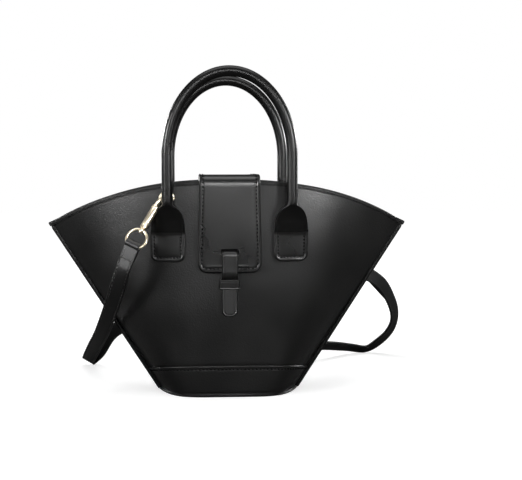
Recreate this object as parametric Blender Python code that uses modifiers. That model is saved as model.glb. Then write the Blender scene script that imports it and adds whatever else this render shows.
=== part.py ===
"""Bucket sling bag: two lens-shaped leather panels on a flat base, two rolled handles, a flap
with a tuck-in tongue, and a shoulder strap on two snap hooks.

Metres, +Z up. The front faces -Y, and the origin is the middle of the base where it stands.
The rear handle, ring and hook are the front ones turned half round the Z axis.
"""

import math

import bmesh
import bpy
from mathutils import Matrix, Vector

# Clearances
gap = 0.0003  # between pieces that touch
overrun = 0.002  # how far a cutter runs past what it cuts

# Body: the seam line is the axis of the piping down each side
seam_base_half = 0.0570
seam_top_half = 0.1488
corner_height = 0.1423  # top of the side seams
rim_height = 0.1764  # top of the panels in the middle, under the binding
base_depth_half = 0.0400
rim_depth_half = 0.0475
rim_arc_power = 2.5
base_plan_power = 5.5  # nearly a rectangle with pointed ends
rim_plan_power = 2.2  # a lens
leather = 0.0016
lining_leather = 0.0006
lining_side_inset = 0.0074  # where the panels meet at a sharp angle
piping_radius = 0.0019

# Base and the band round the foot of the body
base_thickness = 0.0020
board_thickness = 0.0018
board_side_inset = 0.0057
band_leather = 0.0014
band_height = 0.0263
band_side_drop = 0.0065
band_drop_power = 5

# Rim binding
binding_leather = 0.0008
binding_drop = 0.0036
binding_end_share = 0.955  # of the half width, where the panels come too close

# Handles and the tabs that carry them
handle_radius = 0.0044
handle_leg_half = 0.0500
neck_standoff = 0.0067  # from the ring behind the neck to the middle of the neck
handle_pivot_height = 0.1570
handle_spring_height = 0.1980  # where the legs turn into the arch
handle_arch_height = 0.0683
tab_half_width = 0.0140
tab_neck_length = 0.0110  # from its shoulder up to the handle's pivot
tab_pad_length = 0.0110  # padded, from its lower edge up to the shoulder
tab_sewn_length = 0.0230  # flat and sewn down, below the padded part
tab_leather = 0.0026
tab_corner = 0.0050
tab_edge_power = 8  # of its section, nearly a rectangle; the neck is round
tab_standoff = 0.0024  # room behind the padded part for the ring keeper

# Flap
flap_half_width = 0.0258
flap_leather = 0.0017
flap_lining_leather = 0.0009
flap_top_height = 0.1820
flap_foot_plane = 0.0499  # how far forward the outer face of its foot hangs
flap_foot_height = 0.1032
flap_corner = 0.0070
flap_bend_radius = 0.0060
flap_back_height = 0.1500  # foot of the part sewn to the back
slot_height = 0.1200
slot_half_width = 0.0072
slot_tall = 0.0056

# Closure tongue and its keeper
tongue_half_width = 0.0065
tongue_leather = 0.0017
tongue_root_height = 0.1330
tongue_tip_height = 0.0668
tongue_tip_share = 0.3  # of its width, at the very end
keeper_low = 0.0895
keeper_tall = 0.0080
keeper_half_width = 0.0080
keeper_foot = 0.0008
keeper_leather = 0.0012

# Ring, keeper and snap hook
ring_wire = 0.0010
ring_half_width = 0.0065
ring_height = 0.0086
ring_corner = 0.0028
ring_bar_rise = 0.0046  # above the handle's pivot
ring_standoff = 0.00354  # from the panel to the middle of the ring
ring_keeper_leather = 0.0006
ring_keeper_half_width = 0.0020
ring_keeper_tail = 0.0100
ring_keeper_set = 0.0011  # how far its foot bends in towards the panel
hook_lean = math.radians(31)  # from plumb, in the plane of the panel
hook_rise = math.radians(17)  # away from the panel
jaw_wire = 0.0011
jaw_half_width = 0.0033
jaw_top = 0.0044
stem_radius = 0.0031
stem_start = 0.0062
stem_end = 0.0284
stem_shares = (0.8, 1, 1, 0.55)  # of its radius, from the swivel to the jaw
gate_wire = 0.0008
eye_wire = 0.0010
eye_half_width = 0.0079
eye_height = 0.0137
eye_corner = 0.0013
eye_boss_radius = 0.0019
eye_boss_length = 0.0037
eye_turn = math.radians(22)  # about the stem
strap_end_bend = math.radians(22)  # at the bar, back towards the bag

# Shoulder strap
strap_half_width = 0.0064
strap_leather = 0.0022
strap_end_leather = 0.0018
strap_end_tail = 0.0125
strap_leads = (0.0008, 0.0093)  # its two straight points, from the end of the folded tail
route_unit = 0.001
# Route of the strap's middle line between its ends, in route units, and the direction of its width
strap_route = (
    ((-89.4, -51.5, 94.5), (0.89, -0.10, -0.38)),
    ((-94.9, -38.0, 79.0), (0.91, 0.15, -0.37)),
    ((-107.3, 8.0, 48.5), (0.90, 0.18, -0.40)),
    ((-118.8, 60.0, 27.0), (0.88, 0.10, -0.46)),
    ((-128.4, 113.5, 8.3), (0.85, 0.06, -0.53)),
    ((-129.4, 127.0, 4.85), (0.85, 0.04, -0.53)),
    ((-126.0, 130.3, 6.95), (0.80, 0.02, -0.59)),
    ((-118.5, 119.0, 15.3), (0.72, 0.00, -0.69)),
    ((-105.5, 96.0, 29.5), (0.66, 0.00, -0.75)),
    ((-92.0, 82.0, 38.0), (0.54, 0.02, -0.84)),
    ((-70.0, 70.0, 44.0), (0.25, 0.10, -0.96)),
    ((-35.0, 68.0, 42.0), (0.00, 0.16, -0.99)),
    ((5.0, 76.0, 33.0), (-0.16, 0.30, -0.94)),
    ((45.0, 96.0, 24.0), (-0.14, 0.55, -0.82)),
    ((80.0, 124.0, 17.5), (-0.16, 0.70, -0.70)),
    ((107.0, 152.0, 12.3), (-0.22, 0.76, -0.62)),
    ((127.0, 173.0, 7.4), (-0.26, 0.78, -0.57)),
    ((144.5, 181.0, 4.6), (0.16, 0.82, -0.54)),
    ((156.6, 175.0, 13.0), (0.50, 0.76, -0.42)),
    ((165.4, 161.0, 26.5), (0.60, 0.78, -0.16)),
    ((167.2, 145.0, 42.5), (0.56, 0.82, 0.10)),
    ((160.5, 125.0, 60.0), (0.60, 0.74, 0.30)),
    ((146.5, 103.0, 79.5), (0.60, 0.50, 0.60)),
    ((124.0, 82.0, 93.0), (0.25, 0.32, 0.92)),
    ((105.0, 69.5, 95.0), (0.15, 0.20, 0.95)),
    ((92.4, 62.4, 98.6), (0.55, -0.15, 0.82)),
)

# Derived places
flap_layers = flap_leather + gap + flap_lining_leather
flap_top_plane = rim_depth_half + gap + binding_leather + gap + flap_layers
side_lean = math.atan((seam_top_half - seam_base_half) / corner_height)
floor_top = base_thickness + gap
tab_shoulder_height = handle_pivot_height - tab_neck_length
tab_pad_height = tab_shoulder_height - tab_pad_length
tab_foot_height = tab_pad_height - tab_sewn_length
ring_bar_height = handle_pivot_height + ring_bar_rise
piping_reach = (piping_radius + gap) / math.cos(side_lean)
panel_base_half = seam_base_half - piping_reach
panel_top_half = seam_top_half - piping_reach
seam_face = gap / 2 + leather  # the outer face's distance from the middle at the side seam
band_grow = gap + band_leather
band_side_grow = 2 * piping_reach + 2 * band_leather
base_half_width = panel_base_half + band_side_grow
hook_down = Vector(
    (
        -math.sin(hook_lean) * math.cos(hook_rise),
        -math.sin(hook_rise),
        -math.cos(hook_lean) * math.cos(hook_rise),
    )
)

columns_wide = 28
lining_columns = 18
rows_tall = 8


def cleared_scene():
    for obj in list(bpy.data.objects):
        bpy.data.objects.remove(obj, do_unlink=True)
    parts = bpy.data.collections.new("bucket_sling_bag")
    cutters = bpy.data.collections.new("cutters")
    bpy.context.scene.collection.children.link(parts)
    bpy.context.scene.collection.children.link(cutters)
    return parts, cutters


parts, cutters = cleared_scene()


def material(name, colour, roughness, metallic=0.0):
    made = bpy.data.materials.new(name)
    made.use_nodes = True
    shader = made.node_tree.nodes["Principled BSDF"]
    shader.inputs["Base Color"].default_value = (*colour, 1.0)
    shader.inputs["Roughness"].default_value = roughness
    shader.inputs["Metallic"].default_value = metallic
    made.diffuse_color = (*colour, 1.0)
    return made


black_leather = material("black_leather", (0.012, 0.012, 0.012), 0.42)
rolled_leather = material("rolled_leather", (0.010, 0.010, 0.010), 0.30)
lining_cloth = material("lining_cloth", (0.05, 0.045, 0.04), 0.85)
pale_gold = material("pale_gold", (0.86, 0.72, 0.50), 0.16, 1.0)
board = material("board", (0.35, 0.30, 0.24), 0.8)


def add(name, mesh, finish, collection=None):
    obj = bpy.data.objects.new(name, mesh)
    (collection or parts).objects.link(obj)
    if finish:
        mesh.materials.append(finish)
    return obj


def opposite(name, obj):
    """The same piece on the other side of the bag, turned half round the Z axis."""
    other = obj.copy()
    other.name = name
    parts.objects.link(other)
    other.matrix_world = Matrix.Rotation(math.pi, 4, "Z") @ obj.matrix_basis
    return other


def grid(place, columns, rows, loop=False, caps=False):
    """A bmesh grid whose corner (s, t), with s from -1 to 1 and t from 0 to 1, lies at place(s, t)."""
    bm = bmesh.new()
    bmesh.ops.create_grid(bm, x_segments=columns, y_segments=rows, size=1)
    for vert in bm.verts:
        vert.co = place(vert.co.x, (vert.co.y + 1) / 2)
    if loop:
        bmesh.ops.remove_doubles(bm, verts=bm.verts, dist=gap / 100)
    if caps:
        edges = [e for e in bm.edges if e.is_boundary]
        bmesh.ops.holes_fill(bm, edges=edges, sides=0)
    return bm


def finished(name, bm, finish, collection=None, smooth_angle=35):
    mesh = bpy.data.meshes.new(name)
    bm.to_mesh(mesh)
    bm.free()
    mesh.shade_smooth()
    mesh.set_sharp_from_angle(angle=math.radians(smooth_angle))
    return add(name, mesh, finish, collection)


def thickened(obj, thickness, side=-1.0):
    """Gives an open surface its thickness: behind its faces, or before them where side is 1."""
    solid = obj.modifiers.new("thickness", "SOLIDIFY")
    solid.thickness = thickness
    solid.offset = side
    solid.use_even_offset = True
    return obj


def solid_loft(name, place, columns, rows, finish):
    """A closed solid whose rings run round s and whose ends are capped."""
    bm = grid(place, columns, rows, loop=True, caps=True)
    bmesh.ops.recalc_face_normals(bm, faces=bm.faces)
    return finished(name, bm, finish)


def tube(name, points, radius, finish, radii=None, closed=False, sides=2, capped=True):
    """A round bar along points, with a share of the radius at each where radii gives it."""
    curve = bpy.data.curves.new(name, "CURVE")
    curve.dimensions = "3D"
    curve.bevel_depth = radius
    curve.bevel_resolution = sides
    curve.use_fill_caps = capped
    spline = curve.splines.new("POLY")
    spline.points.add(len(points) - 1)
    for index, point in enumerate(points):
        spline.points[index].co = (*point, 1)
        spline.points[index].radius = radii[index] if radii else 1
    spline.use_cyclic_u = closed
    return add(name, curve, finish)


def mesh_of(obj):
    """Replaces a curve object by the mesh that it shows, with its caps welded."""
    bpy.context.view_layer.update()
    shown = obj.evaluated_get(bpy.context.evaluated_depsgraph_get())
    mesh = bpy.data.meshes.new_from_object(shown)
    bm = bmesh.new()
    bm.from_mesh(mesh)
    bmesh.ops.remove_doubles(bm, verts=bm.verts, dist=gap / 100)
    bm.to_mesh(mesh)
    bm.free()
    name, place = obj.name, obj.matrix_world.copy()
    bpy.data.objects.remove(obj)
    made = add(name, mesh, None)
    made.matrix_world = place
    return made


def extruded(name, outlines, thickness, finish, place):
    """A flat outline in its own x and y, thickened along its own z; place sets it in the bag."""
    curve = bpy.data.curves.new(name, "CURVE")
    curve.dimensions = "2D"
    curve.fill_mode = "BOTH"
    curve.extrude = thickness / 2
    for outline in outlines:
        spline = curve.splines.new("POLY")
        spline.points.add(len(outline) - 1)
        for point, (x, y) in zip(spline.points, outline):
            point.co = (x, y, 0, 1)
        spline.use_cyclic_u = True
    obj = add(name, curve, finish)
    obj.matrix_world = place
    return obj


def cut(obj, cutter):
    cutter.hide_render = True
    cutter.display_type = "WIRE"
    boolean = obj.modifiers.new("cut", "BOOLEAN")
    boolean.operation = "DIFFERENCE"
    boolean.object = cutter
    boolean.solver = "EXACT"


def between(low, high, share):
    return low + (high - low) * share


def share_of(value, low, high):
    return max(0.0, min(1.0, (value - low) / (high - low)))


def corner_cut(rise, radius):
    """How far a rounded corner stands in from its side, at this height above its foot."""
    low = min(1.0, rise / radius)
    return radius * (1 - math.sqrt(max(0.0, 1 - (1 - low) ** 2)))


def rim_at(u):
    return between(corner_height, rim_height, 1 - abs(u) ** rim_arc_power)


def body_point(u, v, grow=0.0, side_grow=0.0):
    """A point on the front of the body: u runs from the left seam to the right one, v from the
    base to the rim. grow moves it forwards, and side_grow moves the side seams apart."""
    half = between(panel_base_half, panel_top_half, v) + side_grow
    depth = between(base_depth_half, rim_depth_half, v) + grow
    power = between(base_plan_power, rim_plan_power, v)
    y = seam_face + (depth - seam_face) * (1 - abs(u) ** power)
    return Vector((u * half, -y, between(floor_top, rim_at(u), v)))


def body_frame(u, v):
    """(point, direction outwards, direction up the panel) on the front panel's outer face."""
    step = 1e-4
    here = body_point(u, v)
    across = body_point(min(u + step, 1), v) - body_point(max(u - step, -1), v)
    up = body_point(u, min(v + step, 1)) - body_point(u, max(v - step, 0))
    return here, across.cross(up).normalized(), up.normalized()


def panel_at(x, z, out=0.0):
    """The point of the front panel's outer face at this x and z, moved out in front of it."""
    u, v = 0.0, z / rim_height
    for _ in range(12):
        half = between(panel_base_half, panel_top_half, v)
        u = max(-1.0, min(1.0, x / half))
        v = (z - floor_top) / (rim_at(u) - floor_top)
    here, outwards, _ = body_frame(u, v)
    return here + outwards * out


ring_plane = ring_standoff - panel_at(-handle_leg_half, ring_bar_height).y
handle_plane = ring_plane + neck_standoff


def flap_face(z):
    """The y of the flap's outer face where it hangs down the front."""
    share = (z - flap_foot_height) / (flap_top_height - flap_foot_height)
    return -between(flap_foot_plane, flap_top_plane, share)


def superellipse(half_x, half_y, power, count):
    """A closed outline of count points."""
    points = []
    for index in range(count):
        angle = 2 * math.pi * index / count
        c, s = math.cos(angle), math.sin(angle)
        x = math.copysign(abs(c) ** (2 / power), c)
        points.append((half_x * x, half_y * math.copysign(1 - abs(x) ** power, s)))
    return points


def body_pieces():
    front = finished(
        "front_panel",
        grid(lambda s, t: body_point(s, t), columns_wide, rows_tall),
        black_leather,
    )
    thickened(front, leather)
    opposite("back_panel", front)

    def band_point(s, t):
        top = band_height - band_side_drop * abs(s) ** band_drop_power
        v = (between(floor_top, top, t) - floor_top) / (rim_at(s) - floor_top)
        return body_point(s, v, band_grow, band_side_grow)

    band = finished("front_base_band", grid(band_point, columns_wide + 4, 2), black_leather)
    thickened(band, band_leather)
    opposite("back_base_band", band)

    # Piping down each side seam, above the base band
    foot = Vector((seam_base_half, 0, 0))
    head = Vector((seam_top_half, 0, corner_height))
    start = foot.lerp(head, (floor_top + piping_radius) / corner_height)
    piping = tube("right_side_piping", [start, foot.lerp(head, 0.5), head], piping_radius, black_leather)
    opposite("left_side_piping", piping)


def plan_outline(half, depth, count=40):
    return superellipse(half, depth, base_plan_power, count)


def base_pieces():
    plate = plan_outline(base_half_width, base_depth_half + band_grow)
    extruded(
        "base_panel", [plate], base_thickness, black_leather,
        Matrix.Translation((0, 0, base_thickness / 2)),
    )
    inset = leather + gap
    stiff = plan_outline(panel_base_half - board_side_inset, base_depth_half - inset - gap)
    extruded(
        "base_board", [stiff], board_thickness, board,
        Matrix.Translation((0, 0, floor_top + board_thickness / 2)),
    )


def lining_piece():
    """A cup inside the panels: its rings run round the front and then the back."""
    inset = leather + gap
    side_inset = lining_side_inset
    bottom = (board_thickness + gap + lining_leather) / (rim_height - floor_top)
    top = 1 - (binding_drop + 3 * gap) / rim_height

    def place(s, t):
        front = s < 0
        u = (2 * s + 1) if front else (1 - 2 * s)
        v = between(bottom, top, t)
        half = between(panel_base_half, panel_top_half, v) - side_inset
        depth = between(base_depth_half, rim_depth_half, v) - inset
        power = between(base_plan_power, rim_plan_power, v)
        y = depth * (1 - abs(u) ** power)
        height = between(floor_top, rim_at(u * half / (half + side_inset)), v)
        return Vector((u * half, -y if front else y, height))

    bm = grid(place, 2 * lining_columns, rows_tall, loop=True)
    low = [e for e in bm.edges if e.is_boundary and max(v.co.z for v in e.verts) < band_height]
    bmesh.ops.holes_fill(bm, edges=low, sides=0)
    bmesh.ops.recalc_face_normals(bm, faces=bm.faces)
    thickened(finished("lining", bm, lining_cloth), lining_leather)


def rim_bindings():
    """A strip folded over the top edge of each panel; the lining ends below its inner leg."""
    cover = leather + 2 * gap
    outline = (
        (gap, -binding_drop),
        (gap, -binding_drop / 2),
        (gap, gap),
        (gap - cover / 2, gap),
        (gap - cover, gap),
        (gap - cover, -binding_drop / 2),
        (gap - cover, -binding_drop),
    )

    def place(s, t):
        here, outwards, up = body_frame(s * binding_end_share, 1)
        out, rise = outline[round(t * (len(outline) - 1))]
        return here + outwards * out + up * rise

    strip = finished(
        "front_rim_binding",
        grid(place, columns_wide, len(outline) - 1),
        black_leather,
    )
    thickened(strip, binding_leather, 1.0)
    opposite("back_rim_binding", strip)


def tab_pieces():
    """The four tabs: a flat stitched foot on the panel, padded above it, that narrows to a round
    neck under the handle. The front left one is lofted, and the others are turned or mirrored."""
    neck_top = handle_pivot_height - handle_radius - gap
    around, along = 20, 12

    def place(s, t, side):
        z = between(tab_foot_height, neck_top, t)
        # Half width: rounded foot corners, full width, then in to the neck
        ease = share_of(z, tab_shoulder_height - tab_corner, neck_top)
        ease *= ease * (3 - 2 * ease)
        half = between(tab_half_width - corner_cut(z - tab_foot_height, tab_corner), handle_radius, ease)
        pad = share_of(z, tab_pad_height, tab_pad_height + tab_corner)
        lift = share_of(z, tab_pad_height, neck_top)
        thick = between(tab_leather / 2, between(tab_leather, handle_radius, lift * lift), pad)
        power = between(tab_edge_power, 2, ease)
        angle = math.pi * (s + 1)
        c, n = math.cos(angle), math.sin(angle)
        x = side * handle_leg_half + half * math.copysign(abs(c) ** (2 / power), c)
        depth = thick * math.copysign(abs(n) ** (2 / power), n)
        on_panel = panel_at(x, z).y - gap - between(0, tab_standoff, pad) - thick
        y = between(on_panel, -handle_plane, ease * ease)
        return Vector((x, y + depth, z))

    for side, name in ((-1, "left"), (1, "right")):
        tab = solid_loft(
            f"front_{name}_handle_tab",
            lambda s, t, side=side: place(s, t, side),
            around, along, rolled_leather,
        )
        other = "right" if name == "left" else "left"
        opposite(f"rear_{other}_handle_tab", tab)


def handle_pieces():
    """A rolled tube over a round core: two straight legs with ball ends, and an elliptical arch."""
    steps, ball = 22, 5

    def line(radius):
        points, shares = [], []
        for index in range(ball):
            angle = math.pi / 2 * (index + 0.25) / ball
            points.append((-handle_leg_half, -handle_plane, handle_pivot_height - radius * math.cos(angle)))
            shares.append(math.sin(angle))
        points.append((-handle_leg_half, -handle_plane, handle_pivot_height))
        shares.append(1)
        for index in range(steps + 1):
            angle = math.pi * (1 - index / steps)
            points.append(
                (
                    handle_leg_half * math.cos(angle),
                    -handle_plane,
                    handle_spring_height + handle_arch_height * math.sin(angle),
                )
            )
            shares.append(1)
        points.append((handle_leg_half, -handle_plane, handle_pivot_height))
        shares.append(1)
        for point, share in reversed(list(zip(points[:ball], shares[:ball]))):
            points.append((handle_leg_half, point[1], point[2]))
            shares.append(share)
        return points, shares

    points, shares = line(handle_radius)
    front = tube("front_handle", points, handle_radius, rolled_leather, shares, sides=3)
    opposite("rear_handle", front)


def bent(path, radius, steps=4):
    """A path in (y, z) whose inner corners are rounded to the radius."""
    points = [Vector(path[0])]
    for before, corner, after in zip(path, path[1:], path[2:]):
        before, corner, after = Vector(before), Vector(corner), Vector(after)
        into, out = (before - corner), (after - corner)
        reach = min(radius, into.length * 0.45, out.length * 0.45)
        start, end = corner + into.normalized() * reach, corner + out.normalized() * reach
        for step in range(steps + 1):
            t = step / steps
            points.append(start.lerp(corner, t).lerp(corner.lerp(end, t), t))
    points.append(Vector(path[-1]))
    return points


def strip(name, path, half_width, thickness, finish, side=-1.0, columns=2, narrow=None):
    """A leather strip that follows a path in (y, z) and is thickened behind its faces."""

    def place(s, t):
        index = round(t * (len(path) - 1))
        y, z = path[index]
        share = narrow(index) if narrow else 1
        return Vector((s * half_width * share, y, z))

    obj = finished(name, grid(place, columns, len(path) - 1), finish)
    return thickened(obj, thickness, side)


def flap_layer(name, path, thickness, half_width):
    """One leather of the flap, its foot corners rounded where it hangs down the front."""
    points = bent(path, flap_bend_radius)
    low_end = min(point[1] for point in points)

    def rounded(index):
        return 1 - corner_cut(points[index][1] - low_end, flap_corner) / half_width

    shape = rounded if "front" in name else None
    return strip(name, points, half_width, thickness, rolled_leather, -1.0, 4, shape)


def flap_pieces():
    """The flap is one leather strip with a thinner lining. It is sewn to the back, crosses the
    mouth and hangs down the front, and is modelled as three lengths that part at its two folds."""
    inner = flap_leather + gap
    back_plane = -panel_at(0, flap_back_height).y + gap + binding_leather + gap + flap_layers
    fold_plane = flap_top_plane - flap_bend_radius
    foot_shares = (0, 0.06, 0.2, 0.45, 1)
    feet = [flap_foot_height + flap_corner * share for share in foot_shares]
    paths = {
        "flap_front": [
            *((flap_face(z), z) for z in feet),
            (-flap_top_plane, flap_top_height),
            (-fold_plane - gap / 2, flap_top_height),
        ],
        "flap_bridge": [
            (-fold_plane + gap / 2, flap_top_height),
            (fold_plane - gap / 2, flap_top_height),
        ],
        "flap_back": [
            (fold_plane + gap / 2, flap_top_height),
            (flap_top_plane, flap_top_height),
            (back_plane, flap_back_height),
        ],
    }

    def inside(point):
        """The same point on the face of the lining, below the leather or behind it."""
        y, z = point
        if abs(y) <= fold_plane + gap:
            return (y, z - inner)
        corner = abs(y) >= flap_top_plane - gap and z >= flap_top_height - gap
        return (y - math.copysign(inner, y), z - inner if corner else z)

    for name, path in paths.items():
        lining_path = [inside(point) for point in path]
        layers = (
            flap_layer(name, path, flap_leather, flap_half_width),
            flap_layer(f"{name}_lining", lining_path, flap_lining_leather, flap_half_width - gap),
        )
        if name == "flap_front":
            slot = slot_cutter()
            for layer in layers:
                cut(layer, slot)


def slot_cutter():
    """A box through the flap, where the tongue comes out."""
    bm = bmesh.new()
    bmesh.ops.create_cube(bm, size=2)
    bmesh.ops.scale(bm, vec=(slot_half_width, overrun + flap_layers, slot_tall / 2), verts=bm.verts)
    bmesh.ops.translate(bm, vec=(0, flap_face(slot_height), slot_height), verts=bm.verts)
    return finished("tongue_slot", bm, None, cutters)


def tongue_piece():
    """The tongue is sewn behind the flap, comes out of its slot, runs over its foot, through the
    keeper on the body, and hangs below it. The path follows its front face, from the tip up."""
    rear = gap + tongue_leather
    tip_shares = (0, 0.05, 0.2, 0.5, 1)

    def on_body(z):
        return (panel_at(0, z).y - rear, z)

    def before_flap(z):
        return (flap_face(z) - rear, z)

    def behind_flap(z):
        return (flap_face(z) + flap_layers + gap, z)

    path = [
        *(on_body(tongue_tip_height + tongue_half_width * share) for share in tip_shares),
        on_body(keeper_low),
        on_body(keeper_low + keeper_tall),
        before_flap(flap_foot_height - tongue_leather),
        before_flap(slot_height - tongue_leather / 2),
        behind_flap(slot_height + tongue_leather / 2),
        behind_flap(tongue_root_height),
    ]
    points = bent(path, tongue_leather)

    def rounded(index):
        cut_in = corner_cut(points[index][1] - tongue_tip_height, tongue_half_width)
        return max(tongue_tip_share, 1 - cut_in / tongue_half_width)

    strip("closure_tongue", points, tongue_half_width, tongue_leather, rolled_leather, -1.0, 2, rounded)


def keeper_piece():
    """A small loop of leather, sewn to the front panel by its two feet."""
    clear = 2 * gap + tongue_leather
    rise_at = tongue_half_width + gap
    shape = (
        (-keeper_half_width - keeper_foot, 0.0),
        (-rise_at - keeper_leather, 0.0),
        (-rise_at, clear),
        (0.0, clear),
        (rise_at, clear),
        (rise_at + keeper_leather, 0.0),
        (keeper_half_width + keeper_foot, 0.0),
    )

    def place(s, t):
        x, out = shape[round((s + 1) / 2 * (len(shape) - 1))]
        return panel_at(x, between(keeper_low, keeper_low + keeper_tall, t), out + gap)

    loop = finished("keeper_loop", grid(place, len(shape) - 1, 2), rolled_leather)
    thickened(loop, keeper_leather, 1.0)


def rounded_ring(half_width, height, corner, count=4):
    """A closed D in (x, z): a straight bar at z = 0 with rounded corners, and a round bow above."""
    points = []
    for index in range(count):
        angle = math.pi + math.pi / 2 * index / (count - 1)
        points.append((-half_width + corner + corner * math.cos(angle), corner + corner * math.sin(angle)))
    points += [(-x, z) for x, z in reversed(points)]
    bow = height - half_width
    for index in range(2 * count + 1):
        angle = math.pi * index / (2 * count)
        points.append((half_width * math.cos(angle), bow + half_width * math.sin(angle)))
    return points


def loop_profile(bar_radius, wall, tail, foot_set=0.0, count=16):
    """A strip folded round a bar at the origin, its two leaves together below it. foot_set moves
    the foot of the leaves sideways."""
    inner = bar_radius + gap
    outer = inner + wall
    open_half = math.asin(wall / outer)  # half of the arc that the leaves take up
    ring = []
    for index in range(count + 1):
        angle = -math.pi / 2 + open_half + 2 * (math.pi - open_half) * index / count
        ring.append((outer * math.cos(angle), outer * math.sin(angle)))
    foot = [(foot_set - wall, -tail), (foot_set + wall, -tail)]
    turns = [math.tau * index / count for index in range(count)]
    hole = [(inner * math.cos(turn), inner * math.sin(turn)) for turn in turns]
    return [ring + foot, hole]


def ring_pieces():
    """The ring for the hook, held behind the left tab by a folded leather keeper."""
    place = [
        (x - handle_leg_half, -ring_plane, ring_bar_height + z)
        for x, z in rounded_ring(ring_half_width, ring_height, ring_corner)
    ]
    ring = tube("front_hook_ring", place, ring_wire, pale_gold, closed=True)
    opposite("rear_hook_ring", ring)
    turned = Matrix.Rotation(math.pi / 2, 4, "Z") @ Matrix.Rotation(math.pi / 2, 4, "X")
    keeper = extruded(
        "front_ring_keeper",
        loop_profile(ring_wire, ring_keeper_leather, ring_keeper_tail, ring_keeper_set),
        2 * ring_keeper_half_width,
        black_leather,
        Matrix.Translation((-handle_leg_half, -ring_plane, ring_bar_height)) @ turned,
    )
    opposite("rear_ring_keeper", keeper)


def hook_place():
    """The jaw's middle, on the ring's outer lower corner, with its x across the jaw, y across the
    hook and z down to the swivel."""
    corner = ring_corner * (1 - math.sqrt(0.5))
    middle = Vector(
        (
            -handle_leg_half - ring_half_width + corner,
            -ring_plane,
            ring_bar_height + corner,
        )
    )
    across = Vector((0, -1, 0))
    across = (across - hook_down * across.dot(hook_down)).normalized()
    side = across.cross(hook_down)
    turned = Matrix((across, side, hook_down)).transposed().to_4x4()
    return Matrix.Translation(middle) @ turned


def eye_place():
    """The hook's place, turned about the stem as the eye hangs."""
    return hook_place() @ Matrix.Rotation(-eye_turn, 4, "Z")


def strap_end_place():
    """The eye's bar, its y up the strap from the tail and its z across the strap."""
    bar = stem_end + gap + eye_wire + eye_height
    turned = Matrix.Rotation(-strap_end_bend, 4, "Y") @ Matrix.Rotation(-math.pi / 2, 4, "X")
    return eye_place() @ Matrix.Translation((0, 0, bar)) @ turned


def hook_pieces():
    """Snap hook: a turned stem that runs on into a bent jaw, a sprung gate across the jaw, and
    the swivel eye with its boss."""
    place = hook_place()
    stem_points = (
        (0, stem_end),
        (0, stem_end - stem_radius / 3),
        (0, stem_start),
        (jaw_half_width / 2, stem_start - stem_radius / 2),
    )
    points = [(x, 0, z) for x, z in stem_points]
    shares = list(stem_shares)
    steps = 8
    for index in range(steps + 1):
        angle = math.pi * index / steps
        points.append((jaw_half_width * math.cos(angle), 0, -(jaw_top - jaw_wire) * math.sin(angle)))
        shares.append(jaw_wire / stem_radius)
    body = tube("front_snap_hook", points, stem_radius, pale_gold, shares)
    body.matrix_world = place
    opposite("rear_snap_hook", body)

    pivot_x = -stem_radius - gap - gate_wire
    gate_points = [
        (pivot_x, 0, stem_start + stem_radius / 2),
        (pivot_x, 0, stem_start - gate_wire),
        (-jaw_half_width, 0, 2 * gap),
    ]
    gate = tube("front_hook_gate", gate_points, gate_wire, pale_gold)
    gate.matrix_world = place
    opposite("rear_hook_gate", gate)

    top = stem_end + gap
    bar = top + eye_wire + eye_height
    eye_points = [(0, x, bar - z) for x, z in rounded_ring(eye_half_width, eye_height, eye_corner)]
    boss_points = [(0, 0, top), (0, 0, top + eye_boss_length)]
    boss = mesh_of(tube("boss", boss_points, eye_boss_radius, pale_gold, sides=3))
    eye = mesh_of(tube("front_swivel_eye", eye_points, eye_wire, pale_gold, closed=True))
    union = eye.modifiers.new("boss", "BOOLEAN")
    union.operation = "UNION"
    union.object = boss
    eye = mesh_of(eye)
    bpy.data.objects.remove(boss)
    eye.matrix_world = eye_place()
    opposite("rear_swivel_eye", eye)

    # The strap's end, folded round the eye's bar
    end = extruded(
        "front_strap_end",
        loop_profile(eye_wire, strap_end_leather, strap_end_tail),
        2 * strap_half_width,
        rolled_leather,
        strap_end_place(),
    )
    opposite("rear_strap_end", end)


def strap_piece():
    """The strap's free run: one flat leather band on a smooth curve through the route's points."""
    end_place = strap_end_place()
    leads = [end_place @ Vector((0, -strap_end_tail - reach, 0)) for reach in strap_leads]
    lead_width = end_place.to_3x3() @ Vector((0, 0, 1))
    half_turn = Matrix.Rotation(math.pi, 3, "Z")
    points = leads + [Vector(p) * route_unit for p, _ in strap_route]
    points += [half_turn @ point for point in reversed(leads)]
    widths = [lead_width] * 2 + [Vector(w).normalized() for _, w in strap_route]
    widths += [half_turn @ -lead_width] * 2
    steps = 3
    rows = (len(points) - 1) * steps

    def smooth(values, at):
        at = max(0, min(at, len(values) - 1))
        index = min(int(at), len(values) - 2)
        t = at - index
        a, b = values[max(index - 1, 0)], values[index]
        c, d = values[index + 1], values[min(index + 2, len(values) - 1)]
        return (2 * b + (c - a) * t + (2 * a - 5 * b + 4 * c - d) * t**2 + (3 * b - a - 3 * c + d) * t**3) / 2

    def place(s, t):
        at = t * (len(points) - 1)
        along = smooth(points, at + 1 / steps) - smooth(points, at - 1 / steps)
        wide = smooth(widths, at)
        wide -= along * (wide.dot(along) / along.length_squared)
        return smooth(points, at) + wide.normalized() * (s * strap_half_width)

    band = finished("shoulder_strap", grid(place, 1, rows), rolled_leather)
    thickened(band, strap_leather, 0.0)
    length = sum((smooth(points, (i + 1) / steps) - smooth(points, i / steps)).length for i in range(rows))
    print(f"strap length {length:.3f} m")


body_pieces()
base_pieces()
lining_piece()
rim_bindings()
tab_pieces()
handle_pieces()
flap_pieces()
tongue_piece()
keeper_piece()
ring_pieces()
hook_pieces()
strap_piece()
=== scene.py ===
"""The looks of the bucket sling bag, laid over its CAD frame. Metres, +Z up, front towards -Y."""

import math

import bmesh
import bpy
from mathutils import Matrix, Vector, noise


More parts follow.
